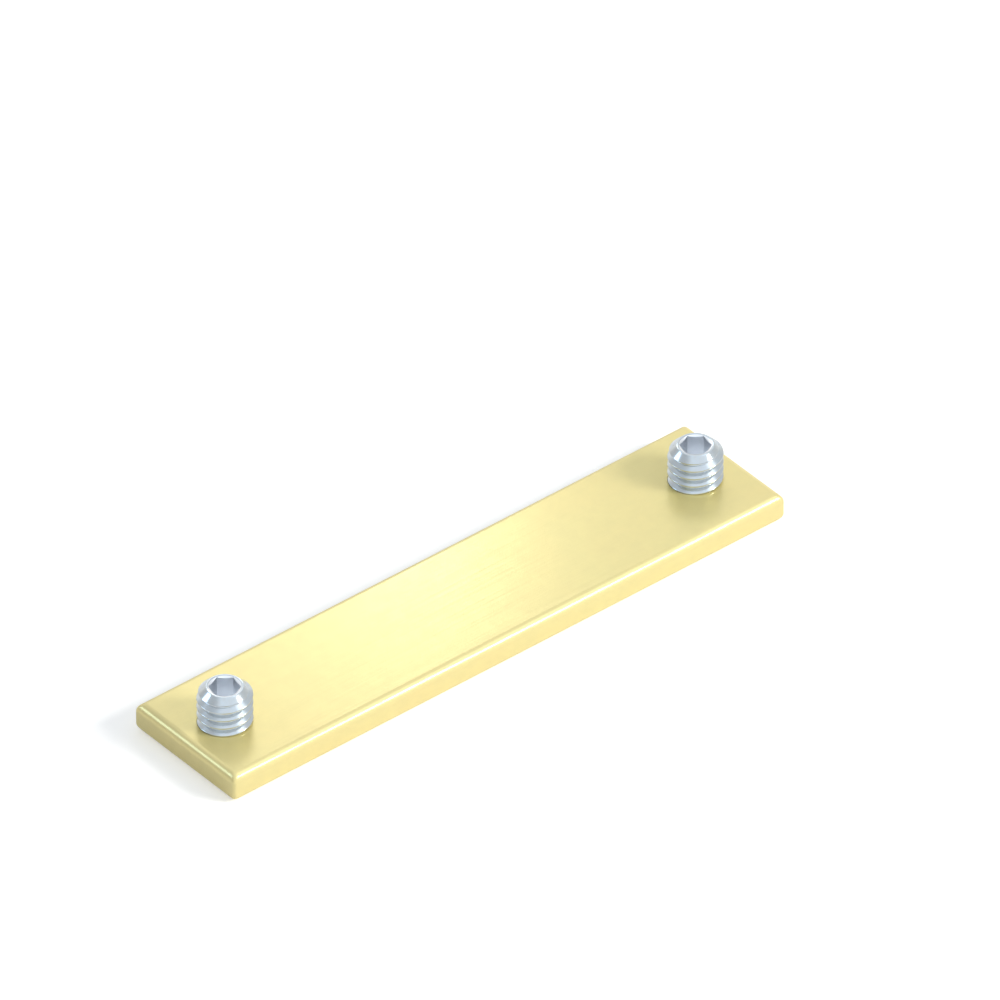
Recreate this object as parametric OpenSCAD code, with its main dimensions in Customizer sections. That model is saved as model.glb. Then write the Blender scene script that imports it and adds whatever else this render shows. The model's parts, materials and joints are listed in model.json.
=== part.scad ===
// Straight connector for slotted framing profiles: a flat steel plate with a
// tapped hole near each end, and a hexagon socket set screw in each hole.
// The plate lies in the slot behind its lips, half its length in each profile.
// Tightening the screws against the slot floor presses the plate to the lips.
// Origin at the middle of the plate's underside, +X along its length, +Z up.

/* [Plate] */
// Overall length, end to end
plate_length = 75; // [40:1:160]
// Width, which the inside of the slot takes
plate_width = 16.4; // [12:0.1:24]
// Thickness of the bar that the plate is cut from
plate_thickness = 3.5; // [2.6:0.1:6]
// Radius of the rounded edges round the top face and the underside
edge_radius = 1; // [0.2:0.1:1.2]
// Radius of the four upright corners
corner_radius = 0.4; // [0.2:0.1:2]

/* [Tapped holes] */
// Distance from each end of the plate to the middle of its hole
hole_end_distance = 5.5; // [5:0.1:12]
// Width of the countersunk ring outside the thread at each mouth
countersink_rim = 0.2; // [0.1:0.05:0.5]

/* [Set screws] */
// Outer diameter of the thread
thread_diameter = 6; // [5:0.1:7]
// Length from the flat point to the socket end
screw_length = 8; // [6:0.5:16]
// Diameter of the flat at the point
point_diameter = 4; // [3:0.1:4.5]
// Key size, across the flats of the hexagon socket
socket_flats = 3; // [2:0.1:3.5]
// Depth of the hexagon below the socket end
socket_depth = 3.5; // [2:0.1:4]
// Width of the flat ring outside the corners of the hexagon
socket_rim = 0.27; // [0.1:0.01:0.5]
// Width of the lead-in cone outside the corners of the hexagon
socket_lead_in = 0.07; // [0.05:0.01:0.09]
// How far the drilled hole under the hexagon stays inside its flats
drill_margin = 0.1; // [0.05:0.05:0.3]
// Turn of each socket's corners from the plate's length
socket_turn = 20; // [0:1:60]

/* [Fit] */
// Radial play between the screw's thread and the hole
thread_clearance = 0.05; // [0.02:0.01:0.09]

/* [Hidden] */
// Facets of a drawn circle
$fn = 96;
// How far each cutting shape runs past the surface that it cuts
overshoot = 1;
// Slopes of the countersinks, the chamfers and the drill points
chamfer_angle = 45;
drill_point_angle = 30;

hole_offset = plate_length / 2 - hole_end_distance;
hole_diameter = thread_diameter + 2 * thread_clearance;
countersink_diameter = thread_diameter + 2 * countersink_rim;
socket_corners = socket_flats / cos(30);
lead_in_diameter = socket_corners + 2 * socket_lead_in;
ring_diameter = socket_corners + 2 * socket_rim;

plate_colour = [0.97, 0.93, 0.70];
screw_colour = [0.74, 0.79, 0.84];

// Bar along Z that leaves a quarter round on the edge at the origin, which runs
// between the faces towards +X and +Y
module edge_cutter(radius, length) {
    linear_extrude(height = length + 2 * overshoot, center = true)
        difference() {
            translate([-overshoot, -overshoot])
                square(radius + overshoot);
            translate([radius, radius])
                circle(r = radius);
        }
}

// The cutter at the edge between the sides x = -width / 2 and y = -depth / 2,
// and its three mirror images
module four_edges(width, depth, length, radius) {
    for (flip_x = [0, 1], flip_y = [0, 1])
        mirror([flip_x, 0, 0])
            mirror([0, flip_y, 0])
                translate([-width / 2, -depth / 2, 0])
                    edge_cutter(radius, length);
}

// Plate with rounded edges and no holes, centred on the origin
module plate_blank() {
    difference() {
        cube([plate_length, plate_width, plate_thickness], center = true);
        four_edges(plate_length, plate_width, plate_thickness, corner_radius);
        rotate([0, 90, 0])
            four_edges(plate_thickness, plate_width, plate_length, edge_radius);
        rotate([90, 0, 0])
            four_edges(plate_length, plate_thickness, plate_width, edge_radius);
    }
}

// Cone that opens upwards from the axis to its mouth at z = 0, and runs past it
module mouth_cone(diameter, angle) {
    slope = tan(angle);
    height = diameter / 2 * slope;
    translate([0, 0, -height])
        cylinder(r1 = 0, r2 = (height + overshoot) / slope, h = height + overshoot);
}

// Hole through the plate along Z, countersunk at both mouths
module tapped_hole() {
    translate([0, 0, -overshoot])
        cylinder(d = hole_diameter, h = plate_thickness + 2 * overshoot);
    translate([0, 0, plate_thickness])
        mouth_cone(countersink_diameter, chamfer_angle);
    mirror([0, 0, 1])
        mouth_cone(countersink_diameter, chamfer_angle);
}

// Hexagon socket with its mouth at z = 0, broached over a drilled hole
module hexagon_socket() {
    drill_radius = socket_flats / 2 - drill_margin;
    drill_point = drill_radius * tan(drill_point_angle);
    mouth_cone(lead_in_diameter, drill_point_angle);
    translate([0, 0, -socket_depth]) {
        rotate([0, 0, socket_turn])
            cylinder(d = socket_corners, h = socket_depth + overshoot, $fn = 6);
        translate([0, 0, -drill_point])
            cylinder(r1 = 0, r2 = drill_radius, h = drill_point);
        cylinder(r = drill_radius, h = socket_depth);
    }
}

// Set screw with its point at z = 0 and its socket end up
module set_screw() {
    radius = thread_diameter / 2;
    point_chamfer = (radius - point_diameter / 2) * tan(chamfer_angle);
    ring_chamfer = (radius - ring_diameter / 2) * tan(chamfer_angle);
    difference() {
        rotate_extrude()
            polygon([
                [0, 0],
                [point_diameter / 2, 0],
                [radius, point_chamfer],
                [radius, screw_length - ring_chamfer],
                [ring_diameter / 2, screw_length],
                [0, screw_length]
            ]);
        translate([0, 0, screw_length])
            hexagon_socket();
    }
}

module connector_plate() {
    color(plate_colour)
        difference() {
            translate([0, 0, plate_thickness / 2])
                plate_blank();
            for (side = [-1, 1])
                translate([side * hole_offset, 0, 0])
                    tapped_hole();
        }
}

module left_set_screw() {
    color(screw_colour)
        translate([-hole_offset, 0, 0])
            set_screw();
}

module right_set_screw() {
    color(screw_colour)
        translate([hole_offset, 0, 0])
            set_screw();
}

connector_plate();
left_set_screw();
right_set_screw();
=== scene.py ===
"""Straight connector for slotted framing: a yellow-plated steel plate and its two set screws."""

import json
import math

import bmesh
import bpy
from mathutils import Matrix, Vector


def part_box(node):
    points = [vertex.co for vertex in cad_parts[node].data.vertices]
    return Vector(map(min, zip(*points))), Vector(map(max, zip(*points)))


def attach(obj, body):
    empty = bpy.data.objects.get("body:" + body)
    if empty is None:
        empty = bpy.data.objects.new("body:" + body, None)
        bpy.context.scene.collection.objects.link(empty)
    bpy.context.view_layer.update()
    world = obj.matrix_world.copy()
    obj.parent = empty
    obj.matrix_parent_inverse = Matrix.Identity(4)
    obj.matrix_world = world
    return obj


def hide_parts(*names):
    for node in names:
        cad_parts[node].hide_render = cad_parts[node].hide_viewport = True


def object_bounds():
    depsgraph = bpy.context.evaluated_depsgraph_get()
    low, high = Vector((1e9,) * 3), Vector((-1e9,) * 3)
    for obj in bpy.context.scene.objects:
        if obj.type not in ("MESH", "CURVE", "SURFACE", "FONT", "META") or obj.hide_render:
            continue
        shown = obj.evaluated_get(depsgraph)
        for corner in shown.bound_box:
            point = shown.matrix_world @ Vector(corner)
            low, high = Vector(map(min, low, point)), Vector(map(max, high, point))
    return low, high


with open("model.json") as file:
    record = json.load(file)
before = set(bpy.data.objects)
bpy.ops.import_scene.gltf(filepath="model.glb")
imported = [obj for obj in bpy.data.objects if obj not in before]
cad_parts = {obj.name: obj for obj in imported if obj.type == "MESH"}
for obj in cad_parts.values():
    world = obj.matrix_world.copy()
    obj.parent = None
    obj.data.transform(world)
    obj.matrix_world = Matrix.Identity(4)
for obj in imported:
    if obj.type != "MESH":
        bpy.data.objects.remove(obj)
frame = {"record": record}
cad_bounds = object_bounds()

# Lengths are in millimetres up to finish_piece, which turns a mesh into metres
MM = 0.001

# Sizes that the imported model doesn't state, as in the construction
EDGE_RADIUS = 1.0
CORNER_RADIUS = 0.4
COUNTERSINK_DIAMETER = 5.6
POINT_DIAMETER = 4.0
SOCKET_FLATS = 3.0
SOCKET_CORNER_RADIUS = SOCKET_FLATS / math.cos(math.tau / 12) / 2
SOCKET_DEPTH = 3.5
SOCKET_RIM = 0.27
SOCKET_LEAD_IN = 0.07
SOCKET_TURN = math.radians(20)
DRILL_MARGIN = 0.1
DRILL_SLOPE = math.tan(math.radians(30))

# Metric thread of 6 mm by 1 mm, with a little play between screw and hole
MAJOR_RADIUS = 3.0
PITCH = 1.0
CREST_FLAT = PITCH / 8
FLANK_SLOPE = math.tan(math.radians(30))
SCREW_CREST = 2.97
SCREW_ROOT = 2.39
HOLE_ROOT = 3.02
HOLE_CREST = 2.5
FLANK_PLAY = 0.02

# Softening of the edges: its reach, the largest share of a line that it takes, and its steps
THREAD_SOFTENING = 0.045
LIP_SOFTENING = 0.06
SOFTENING_SHARE = 0.45
SOFTENING_STEPS = 3

# How finely round forms are drawn, and the angle between faces above which their edge is sharp
TURN_STEPS = 96
EDGE_STEPS = 10
CORNER_STEPS = 6
SHARP_ANGLE = math.radians(32)

# How far a cutting shape runs past the surface that it cuts, and the turns that a cut rod has to spare
OVERSHOOT = 1.0
SPARE_TURNS = 2
# Distances within which points count as one, in a cut and in a finished piece
CUT_TOLERANCE = 1e-5
MERGE_DISTANCE = 1e-4

# The middle of a noise's range from 0 to 1, which holds most of its values
NOISE_MIDDLE = (0.3, 0.7)
# The socket's satin finish and its painted light, a pale tone that stands in for light in the recess:
# how rough it is, how far it runs past the hexagon's corners, and the height above the screw's point at
# which it starts
SOCKET_ROUGHNESS = 0.31
SOCKET_SATIN_AND_PAINTED_LIGHT_RIM = 0.02
SOCKET_SATIN_AND_PAINTED_LIGHT_START = 1.0

# The photograph's view: angles, where the plate's middle falls and how large a millimetre is
AZIMUTH = math.radians(-39.74)
ELEVATION = math.radians(38.0)
PICTURE_SIDE_PX = 1000
PLATE_MIDDLE_PX = (461.6, 611.3)
PX_PER_MM = 9.544
CAMERA_DISTANCE = 2.7
SENSOR_WIDTH = 36.0

# How bright the studio is as a light and in reflections
SKY_LIGHT = 0.55
SKY_GLOSS = 1.05
# How far the floor is lifted towards white where the camera sees it, and in reflections
FLOOR_LIFT = 0.4
FLOOR_GLOSS_LIFT = 0.12
FLOOR_TONE = (0.86, 0.86, 0.86, 1)
WHITE = (1, 1, 1, 1)
# The studio is a little cooler above than at its horizon
HORIZON = (1.0, 0.97, 0.91, 1)
ZENITH = (0.93, 1.0, 1.07, 1)
# Tones of the lamps
WARM_LIGHT = (1.0, 0.97, 0.92)
COOL_LIGHT = (0.52, 0.74, 1.0)
# Darker and brighter sides of the studio: direction, the cosines from it where the change starts and
# is full, and its level
STUDIO_SIDES = (
    ((-0.75, 0.55, 0.35), 0.5, 0.85, 0.62),
    ((0.8, -0.1, 0.6), 0.72, 0.95, 0.75),
    ((0.4, -0.25, 0.88), 0.96, 0.995, 2.3),
)


def mount_place(name):
    """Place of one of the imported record's mounts, in millimetres."""
    mount = next(m for m in frame["record"]["mounts"] if m["name"] == name)
    return Vector(mount["pos_m"]) / MM


def softened(points, reach):
    """The open outline with each inner corner drawn as a short curve."""
    points = [Vector(p) for p in points]
    result = [points[0]]
    for before, corner, after in zip(points, points[1:], points[2:]):
        to_before = before - corner
        to_after = after - corner
        start = corner + to_before.normalized() * min(reach, to_before.length * SOFTENING_SHARE)
        end = corner + to_after.normalized() * min(reach, to_after.length * SOFTENING_SHARE)
        for step in range(SOFTENING_STEPS + 1):
            s = step / SOFTENING_STEPS
            result.append(start * (1 - s) ** 2 + corner * 2 * s * (1 - s) + end * s ** 2)
    result.append(points[-1])
    return result


def new_object(name, mesh):
    """Object in the scene made from a bmesh, with its faces turned outwards."""
    bmesh.ops.recalc_face_normals(mesh, faces=mesh.faces)
    data = bpy.data.meshes.new(name)
    mesh.to_mesh(data)
    mesh.free()
    made = bpy.data.objects.new(name, data)
    bpy.context.scene.collection.objects.link(made)
    return made


def skin(mesh, rings):
    """Faces between neighbouring rings of vertices and across both ends. One vertex alone is a pole."""
    for lower, upper in zip(rings, rings[1:]):
        count = max(len(lower), len(upper))
        for i in range(count):
            j = (i + 1) % count
            corners = [lower[i % len(lower)], lower[j % len(lower)]]
            corners += [upper[j % len(upper)], upper[i % len(upper)]]
            mesh.faces.new(dict.fromkeys(corners))
    for end in (rings[0], rings[-1]):
        if len(end) > 2:
            mesh.faces.new(end)


def lathe(name, outline, steps=TURN_STEPS, turn=math.pi / TURN_STEPS):
    """Solid about Z with the outline of (radius, height) points, lowest first.

    Unless another turn is given, its corners lie midway between a thread's, so that no two edges
    coincide where they are combined.
    """
    mesh = bmesh.new()
    rings = []
    for radius, z in outline:
        count = steps if radius > 0 else 1
        angles = [turn + math.tau * i / steps for i in range(count)]
        ring = [(radius * math.cos(a), radius * math.sin(a), z) for a in angles]
        rings.append([mesh.verts.new(p) for p in ring])
    skin(mesh, rings)
    return new_object(name, mesh)


def thread_outline(crest_radius, root_radius, play):
    """One turn's outline of a thread's ridge, as (radius, height) about the ridge's middle."""
    def half_ridge(radius):
        return CREST_FLAT / 2 + (MAJOR_RADIUS - radius) * FLANK_SLOPE + play

    crest = half_ridge(crest_radius)
    root = half_ridge(root_radius)
    corners = [(root_radius, -root), (crest_radius, -crest), (crest_radius, crest), (root_radius, root)]
    turn_before = (root_radius, root - PITCH)
    turn_after = (root_radius, PITCH - root)
    return softened([turn_before, *corners, turn_after], THREAD_SOFTENING)[1:-1]


def threaded_rod(name, outline, low, high):
    """Right-handed threaded rod about Z, cut off square at two heights."""
    mesh = bmesh.new()
    first_turn = math.floor(low / PITCH) - SPARE_TURNS
    turns = math.ceil(high / PITCH) + SPARE_TURNS - first_turn
    columns = []
    for step in range(TURN_STEPS):
        part = step / TURN_STEPS
        x, y = math.cos(math.tau * part), math.sin(math.tau * part)
        column = []
        for turn in range(turns):
            base = PITCH * (first_turn + turn + part)
            column += [mesh.verts.new((r * x, r * y, base + z)) for r, z in outline]
        columns.append(column)
    # After a full turn a row meets the row that started one pitch higher
    columns.append(columns[0][len(outline):])
    for left, right in zip(columns, columns[1:]):
        for i in range(min(len(left), len(right)) - 1):
            mesh.faces.new((left[i], right[i], right[i + 1], left[i + 1]))
    for height, outwards in ((low, -1), (high, 1)):
        everything = [*mesh.verts, *mesh.edges, *mesh.faces]
        bmesh.ops.bisect_plane(
            mesh, geom=everything, dist=CUT_TOLERANCE, plane_co=(0, 0, height),
            plane_no=(0, 0, outwards), clear_outer=True)
    bmesh.ops.holes_fill(mesh, edges=[e for e in mesh.edges if e.is_boundary])
    return new_object(name, mesh)


def combine(piece, tool, operation):
    """Replaces the piece's mesh by its exact union, difference or overlap with the tool."""
    modifier = piece.modifiers.new(operation, "BOOLEAN")
    modifier.operation = operation
    modifier.solver = "EXACT"
    modifier.object = tool
    evaluated = piece.evaluated_get(bpy.context.evaluated_depsgraph_get())
    data = bpy.data.meshes.new_from_object(evaluated)
    piece.modifiers.clear()
    piece.data = data
    bpy.data.objects.remove(tool)


def finish_piece(piece, node, body, material):
    """Turns the piece into metres, smooths it and lets it stand for its CAD node."""
    mesh = bmesh.new()
    mesh.from_mesh(piece.data)
    bmesh.ops.remove_doubles(mesh, verts=mesh.verts, dist=MERGE_DISTANCE)
    mesh.to_mesh(piece.data)
    mesh.free()
    piece.data.transform(Matrix.Scale(MM, 4))
    piece.data.shade_smooth()
    piece.data.set_sharp_from_angle(angle=SHARP_ANGLE)
    weighted = piece.modifiers.new("weighted_normals", "WEIGHTED_NORMAL")
    weighted.keep_sharp = True
    piece.data.materials.clear()
    piece.data.materials.append(material)
    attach(piece, body)
    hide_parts(node)


def bar_ring(mesh, half_length, half_width, z):
    """Vertices round one level of the plate, a rectangle with rounded corners."""
    ring = []
    for quarter, (across, along) in enumerate(((1, 1), (-1, 1), (-1, -1), (1, -1))):
        for step in range(CORNER_STEPS + 1):
            angle = math.tau / 4 * (quarter + step / CORNER_STEPS)
            x = across * (half_length - CORNER_RADIUS) + CORNER_RADIUS * math.cos(angle)
            y = along * (half_width - CORNER_RADIUS) + CORNER_RADIUS * math.sin(angle)
            ring.append(mesh.verts.new((x, y, z)))
    return ring


def plate_blank(name, length, width, thickness):
    """The plate without its holes, rounded along the edges of both faces."""
    mesh = bmesh.new()
    levels = []
    for step in range(EDGE_STEPS + 1):
        angle = math.tau / 4 * step / EDGE_STEPS
        levels.append((EDGE_RADIUS * (1 - math.sin(angle)), EDGE_RADIUS * (1 - math.cos(angle))))
    levels += [(inset, thickness - z) for inset, z in reversed(levels)]
    rings = [bar_ring(mesh, length / 2 - inset, width / 2 - inset, z) for inset, z in levels]
    skin(mesh, rings)
    return new_object(name, mesh)


def countersink(face, upwards):
    """Cutting cone for a hole's mouth in the face at that height, with a softened lip.

    Outside the lip it rises off the face, which it leaves as it is.
    """
    radius = COUNTERSINK_DIAMETER / 2
    rim = radius + OVERSHOOT
    rise = 0.05
    points = [(0, -radius), (radius, 0), (rim, rise), (rim, OVERSHOOT)]
    outline = [(r, face + upwards * z) for r, z in softened(points, LIP_SOFTENING)]
    return lathe("countersink", outline if upwards > 0 else outline[::-1])


def make_plate(name, hole_places):
    """The connector plate with both tapped holes."""
    low, high = (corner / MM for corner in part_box("connector_plate"))
    length, width, thickness = high - low
    plate = plate_blank(name, length, width, thickness)
    for place in hole_places:
        outline = thread_outline(HOLE_ROOT, HOLE_CREST, FLANK_PLAY)
        tap = threaded_rod("tap", outline, -OVERSHOOT, thickness + OVERSHOOT)
        for tool in (tap, countersink(thickness, 1), countersink(0, -1)):
            tool.data.transform(Matrix.Translation((place.x, place.y, 0)))
            combine(plate, tool, "DIFFERENCE")
    return plate


def make_screw(name, length):
    """A set screw with its point at the origin and its hexagon socket up."""
    ring = SOCKET_CORNER_RADIUS + SOCKET_RIM
    point = POINT_DIAMETER / 2
    shape = softened([
        (0, 0),
        (point, 0),
        (MAJOR_RADIUS, MAJOR_RADIUS - point),
        (MAJOR_RADIUS, length - MAJOR_RADIUS + ring),
        (ring, length),
        (0, length),
    ], LIP_SOFTENING)
    top = length + OVERSHOOT
    outline = thread_outline(SCREW_CREST, SCREW_ROOT, -FLANK_PLAY)
    screw = threaded_rod(name, outline, -OVERSHOOT, top)
    combine(screw, lathe("blank", shape), "INTERSECT")
    bottom = length - SOCKET_DEPTH
    hexagon = [(SOCKET_CORNER_RADIUS, bottom), (SOCKET_CORNER_RADIUS, top)]
    combine(screw, lathe("hexagon", hexagon, steps=6, turn=SOCKET_TURN), "DIFFERENCE")
    drill = SOCKET_FLATS / 2 - DRILL_MARGIN
    drilled = [(0, bottom - drill * DRILL_SLOPE), (drill, bottom), (drill, bottom + OVERSHOOT)]
    combine(screw, lathe("drilled", drilled), "DIFFERENCE")
    mouth = SOCKET_CORNER_RADIUS + SOCKET_LEAD_IN
    lead_in = [(0, length - mouth * DRILL_SLOPE), (mouth + OVERSHOOT / DRILL_SLOPE, top)]
    combine(screw, lathe("lead_in", lead_in), "DIFFERENCE")
    return screw


def feed(tree, socket, value):
    """Gives a node's input a value, or links it to another node's output."""
    if isinstance(value, bpy.types.NodeSocket):
        tree.links.new(value, socket)
    else:
        socket.default_value = value


def add_node(tree, kind, inputs=None, **settings):
    """Shader node with its settings and its inputs, which are values or other nodes' outputs."""
    made = tree.nodes.new(kind)
    for name, value in settings.items():
        setattr(made, name, value)
    for name, value in (inputs or {}).items():
        feed(tree, made.inputs[name], value)
    return made


def calculate(tree, operation, *values):
    """Result of a calculation with one or two values, which are numbers or outputs."""
    made = add_node(tree, "ShaderNodeMath", operation=operation)
    for socket, value in zip(made.inputs, values):
        feed(tree, socket, value)
    return made.outputs["Value"]


def blend_colours(tree, factor, first, second):
    """Colour between two, which are colours or outputs."""
    made = add_node(tree, "ShaderNodeMix", data_type="RGBA", clamp_factor=True)
    for name, value in (("Factor_Float", factor), ("A_Color", first), ("B_Color", second)):
        feed(tree, next(s for s in made.inputs if s.identifier == name), value)
    return next(s for s in made.outputs if s.identifier == "Result_Color")


def new_material(name):
    """Material with an empty node tree, its surface shader and its coordinates in millimetres."""
    material = bpy.data.materials.new(name)
    material.use_nodes = True
    tree = material.node_tree
    tree.nodes.clear()
    shader = add_node(tree, "ShaderNodeBsdfPrincipled")
    output = add_node(tree, "ShaderNodeOutputMaterial")
    tree.links.new(shader.outputs["BSDF"], output.inputs["Surface"])
    place = add_node(tree, "ShaderNodeTexCoord").outputs["Object"]
    millimetres = add_node(
        tree, "ShaderNodeMapping", {"Vector": place, "Scale": (1 / MM, 1 / MM, 1 / MM)})
    return material, tree, shader, millimetres.outputs["Vector"]


def noise(tree, place, scale, detail=2.0, stretch=(1, 1, 1)):
    """Noise from 0 to 1, with its scale in cycles for each millimetre."""
    stretched = add_node(tree, "ShaderNodeMapping", {"Vector": place, "Scale": stretch})
    made = add_node(
        tree, "ShaderNodeTexNoise",
        {"Vector": stretched.outputs["Vector"], "Scale": scale, "Detail": detail})
    return made.outputs["Fac"]


def spread(tree, value, low, high):
    """Maps the middle of a noise's range onto low to high."""
    made = add_node(tree, "ShaderNodeMapRange", {
        "Value": value, "From Min": NOISE_MIDDLE[0], "From Max": NOISE_MIDDLE[1],
        "To Min": low, "To Max": high})
    return made.outputs["Result"]


def bump(tree, heights, normal=None):
    """Normal after a list of (height from 0 to 1, depth in millimetres)."""
    for height, depth in heights:
        inputs = {"Height": height, "Distance": depth * MM}
        if normal:
            inputs["Normal"] = normal
        normal = add_node(tree, "ShaderNodeBump", inputs).outputs["Normal"]
    return normal


def yellow_zinc():
    """Yellow-passivated zinc: pale and faintly mottled over the rolling grain of the bar."""
    material, tree, shader, place = new_material("yellow_zinc")
    warm = (0.85, 0.72, 0.34, 1)
    green = (0.83, 0.73, 0.345, 1)
    dull = (0.74, 0.65, 0.32, 1)
    most_dull = 0.32
    smoothest = 0.277
    roughest = 0.3
    grain_depth = 0.014
    fine_depth = 0.0005
    mottle = noise(tree, place, scale=0.11, detail=3.0)
    cloud = noise(tree, place, scale=0.7, detail=4.0)
    grain = noise(tree, place, scale=1.0, detail=3.0, stretch=(0.07, 2.4, 2.4))
    fine = noise(tree, place, scale=9.0)
    tone = blend_colours(tree, spread(tree, mottle, 0.0, 1.0), warm, green)
    tone = blend_colours(tree, spread(tree, cloud, 0.0, most_dull), tone, dull)
    shader.inputs["Metallic"].default_value = 0.5
    shader.inputs["Specular IOR Level"].default_value = 0.2
    tree.links.new(tone, shader.inputs["Base Color"])
    tree.links.new(spread(tree, cloud, smoothest, roughest), shader.inputs["Roughness"])
    normal = bump(tree, [(grain, grain_depth), (fine, fine_depth)])
    tree.links.new(normal, shader.inputs["Normal"])
    return material


def within_socket(tree, place):
    """1 in the screw's socket, where the zinc is satin and painted pale as painted light in the recess,
    and 0 outside it.
    """
    apart = add_node(tree, "ShaderNodeSeparateXYZ", {"Vector": place})
    squares = [calculate(tree, "POWER", apart.outputs[axis], 2) for axis in "XY"]
    from_axis = calculate(tree, "SQRT", calculate(tree, "ADD", *squares))
    inside = calculate(tree, "LESS_THAN", from_axis, SOCKET_CORNER_RADIUS + SOCKET_SATIN_AND_PAINTED_LIGHT_RIM)
    above_point = calculate(tree, "GREATER_THAN", apart.outputs["Z"], SOCKET_SATIN_AND_PAINTED_LIGHT_START)
    return calculate(tree, "MULTIPLY", inside, above_point)


def bright_zinc():
    """Bright zinc with a faint blue tone over fine turning marks, rougher in the socket and painted pale
    there as painted light.
    """
    material, tree, shader, place = new_material("bright_zinc")
    blue = (0.61, 0.68, 0.735, 1)
    grey = (0.61, 0.65, 0.68, 1)
    # Painted light: a pale tone that makes the socket's shaded recess look lit
    painted_socket_light = (0.92, 0.945, 0.98, 1)
    smoothest = 0.14
    roughest = 0.19
    ring_depth = 0.0012
    fine_depth = 0.0004
    cloud = noise(tree, place, scale=1.6, detail=3.0)
    rings = noise(tree, place, scale=1.0, stretch=(1.0, 1.0, 9.0))
    fine = noise(tree, place, scale=14.0)
    tone = blend_colours(tree, spread(tree, cloud, 0.0, 1.0), blue, grey)
    socket = within_socket(tree, place)
    # Painted light: the socket's recess is painted pale where its walls lie in shade
    tone = blend_colours(tree, socket, tone, painted_socket_light)
    shader.inputs["Metallic"].default_value = 1.0
    tree.links.new(tone, shader.inputs["Base Color"])
    smooth = spread(tree, cloud, smoothest, roughest)
    satin = calculate(tree, "MULTIPLY", socket, SOCKET_ROUGHNESS)
    roughness = calculate(tree, "MAXIMUM", smooth, satin)
    tree.links.new(roughness, shader.inputs["Roughness"])
    normal = bump(tree, [(rings, ring_depth), (fine, fine_depth)])
    tree.links.new(normal, shader.inputs["Normal"])
    return material


def seen_by_eye_or_gloss(tree):
    """1 for what the camera sees, directly, through glass or in a shiny surface, otherwise 0."""
    path = add_node(tree, "ShaderNodeLightPath")
    either = calculate(tree, "MAXIMUM", path.outputs["Is Camera Ray"], path.outputs["Is Glossy Ray"])
    return calculate(tree, "MAXIMUM", either, path.outputs["Is Transmission Ray"])


def floor_material():
    """Matt white that looks a little brighter than its light makes it, and still takes a shadow."""
    material = bpy.data.materials.new("floor")
    material.use_nodes = True
    tree = material.node_tree
    tree.nodes.clear()
    matt = add_node(tree, "ShaderNodeBsdfDiffuse", {"Color": FLOOR_TONE})
    glow = add_node(tree, "ShaderNodeEmission", {"Color": WHITE})
    path = add_node(tree, "ShaderNodeLightPath")
    for_eye = calculate(tree, "MULTIPLY", path.outputs["Is Camera Ray"], FLOOR_LIFT)
    for_gloss = calculate(tree, "MULTIPLY", seen_by_eye_or_gloss(tree), FLOOR_GLOSS_LIFT)
    lift = calculate(tree, "MAXIMUM", for_eye, for_gloss)
    tree.links.new(lift, glow.inputs["Strength"])
    both = add_node(tree, "ShaderNodeAddShader")
    tree.links.new(matt.outputs["BSDF"], both.inputs[0])
    tree.links.new(glow.outputs["Emission"], both.inputs[1])
    output = add_node(tree, "ShaderNodeOutputMaterial")
    tree.links.new(both.outputs["Shader"], output.inputs["Surface"])
    return material


def make_floor():
    """Pale floor under the object, 8 metres square."""
    half_side = 4.0
    mesh = bmesh.new()
    bmesh.ops.create_grid(mesh, x_segments=4, y_segments=4, size=half_side)
    floor = new_object("floor", mesh)
    floor.location.z = cad_bounds[0][2]
    floor.data.materials.append(floor_material())


def make_world():
    """Pale studio all round that lights the object, with darker and brighter sides."""
    world = bpy.data.worlds.new("studio")
    bpy.context.scene.world = world
    world.use_nodes = True
    tree = world.node_tree
    tree.nodes.clear()
    direction = add_node(tree, "ShaderNodeTexCoord").outputs["Generated"]
    level = add_node(tree, "ShaderNodeMapRange", {
        "Value": seen_by_eye_or_gloss(tree), "To Min": SKY_LIGHT, "To Max": SKY_GLOSS}).outputs["Result"]
    for side, start, full, side_level in STUDIO_SIDES:
        towards = add_node(tree, "ShaderNodeVectorMath", operation="DOT_PRODUCT")
        feed(tree, towards.inputs[0], direction)
        feed(tree, towards.inputs[1], Vector(side).normalized())
        change = add_node(tree, "ShaderNodeMapRange", {
            "Value": towards.outputs["Value"], "From Min": start, "From Max": full,
            "To Min": 1.0, "To Max": side_level}, interpolation_type="SMOOTHSTEP")
        level = calculate(tree, "MULTIPLY", level, change.outputs["Result"])
    height = add_node(tree, "ShaderNodeSeparateXYZ", {"Vector": direction}).outputs["Z"]
    tone = blend_colours(tree, height, HORIZON, ZENITH)
    eye = add_node(tree, "ShaderNodeLightPath").outputs["Is Camera Ray"]
    tone = blend_colours(tree, eye, tone, WHITE)
    strength = calculate(tree, "MAXIMUM", level, eye)
    background = add_node(tree, "ShaderNodeBackground", {"Color": tone, "Strength": strength})
    output = add_node(tree, "ShaderNodeOutputWorld")
    tree.links.new(background.outputs["Background"], output.inputs["Surface"])


def soft_lamp(name, place, target, side, power, tone=(1, 1, 1), mirrored=True):
    """Square area lamp in metres and watts. One that isn't mirrored leaves no glare on shiny faces."""
    light = bpy.data.lights.new(name, "AREA")
    light.size = side
    light.energy = power
    light.color = tone
    lamp = bpy.data.objects.new(name, light)
    bpy.context.scene.collection.objects.link(lamp)
    lamp.location = place
    lamp.rotation_euler = (Vector(target) - Vector(place)).to_track_quat("-Z", "Y").to_euler()
    lamp.visible_camera = False
    lamp.visible_glossy = mirrored


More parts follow.
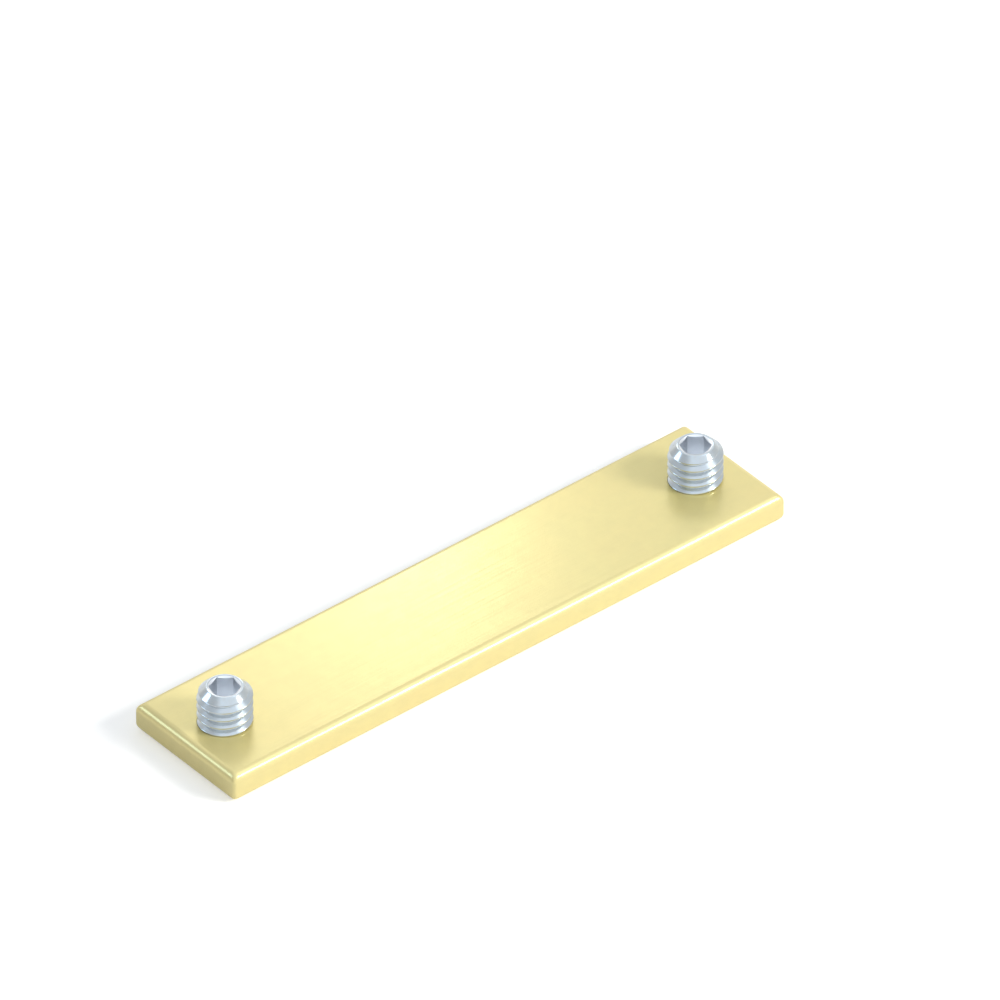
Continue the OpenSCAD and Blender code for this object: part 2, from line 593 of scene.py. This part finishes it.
def make_lamps():
    """Lamps for the object as a whole, and two small ones for the sheen on the plate."""
    middle = (0, 0, 0)
    # The main light, and a smaller one that draws the bright line along the plate's near edge
    soft_lamp(
        "key", place=(0.62, -0.9, 0.57), target=middle, side=0.5, power=11.5, tone=WARM_LIGHT,
        mirrored=False)
    soft_lamp("edge", place=(0.62, -0.81, 0.69), target=middle, side=0.25, power=3.2, tone=WARM_LIGHT)
    # The pale line along the plate's short edge
    soft_lamp("fill", place=(-0.6, 0.63, 0.49), target=middle, side=0.3, power=0.95, tone=COOL_LIGHT)
    # The soft sheen along the middle of the plate's top face
    soft_lamp(
        "sheen", place=(0.0679, 0.0912, 0.084), target=(0.002, 0.012, 0.0035), side=0.016,
        power=0.0052)
    soft_lamp(
        "left_sheen", place=(0.0459, 0.1042, 0.084), target=(-0.02, 0.025, 0.0035), side=0.03,
        power=0.003)


def make_camera():
    """Camera at the photograph's angles, with the plate where the photograph has it."""
    right = Vector((math.cos(AZIMUTH), math.sin(AZIMUTH), 0))
    back = Vector((
        math.sin(AZIMUTH) * math.cos(ELEVATION),
        -math.cos(AZIMUTH) * math.cos(ELEVATION),
        math.sin(ELEVATION)))
    up = back.cross(right)
    low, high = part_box("connector_plate")
    middle = (low + high) / 2
    metre_per_px = MM / PX_PER_MM
    half = PICTURE_SIDE_PX / 2
    target = middle + right * (half - PLATE_MIDDLE_PX[0]) * metre_per_px
    target -= up * (half - PLATE_MIDDLE_PX[1]) * metre_per_px
    data = bpy.data.cameras.new("camera")
    data.sensor_width = SENSOR_WIDTH
    data.lens = SENSOR_WIDTH * CAMERA_DISTANCE / (PICTURE_SIDE_PX * metre_per_px)
    camera = bpy.data.objects.new("camera", data)
    bpy.context.scene.collection.objects.link(camera)
    turn = Matrix((right, up, back)).transposed().to_4x4()
    camera.matrix_world = Matrix.Translation(target + back * CAMERA_DISTANCE) @ turn
    bpy.context.scene.camera = camera


make_camera()
make_world()
make_floor()
make_lamps()

yellow = yellow_zinc()
bright = bright_zinc()
sides = ("left", "right")
screw_places = [mount_place(f"{side}_screw_point") for side in sides]
plate = make_plate("plate", screw_places)
finish_piece(plate, "connector_plate", "plate", yellow)
screw_length = mount_place("left_hex_socket").z
for side, place in zip(sides, screw_places):
    screw = make_screw(f"{side}_screw", screw_length)
    screw.location = place * MM
    finish_piece(screw, f"{side}_set_screw", f"{side}_screw", bright)

bpy.context.scene.view_settings.view_transform = "Standard"
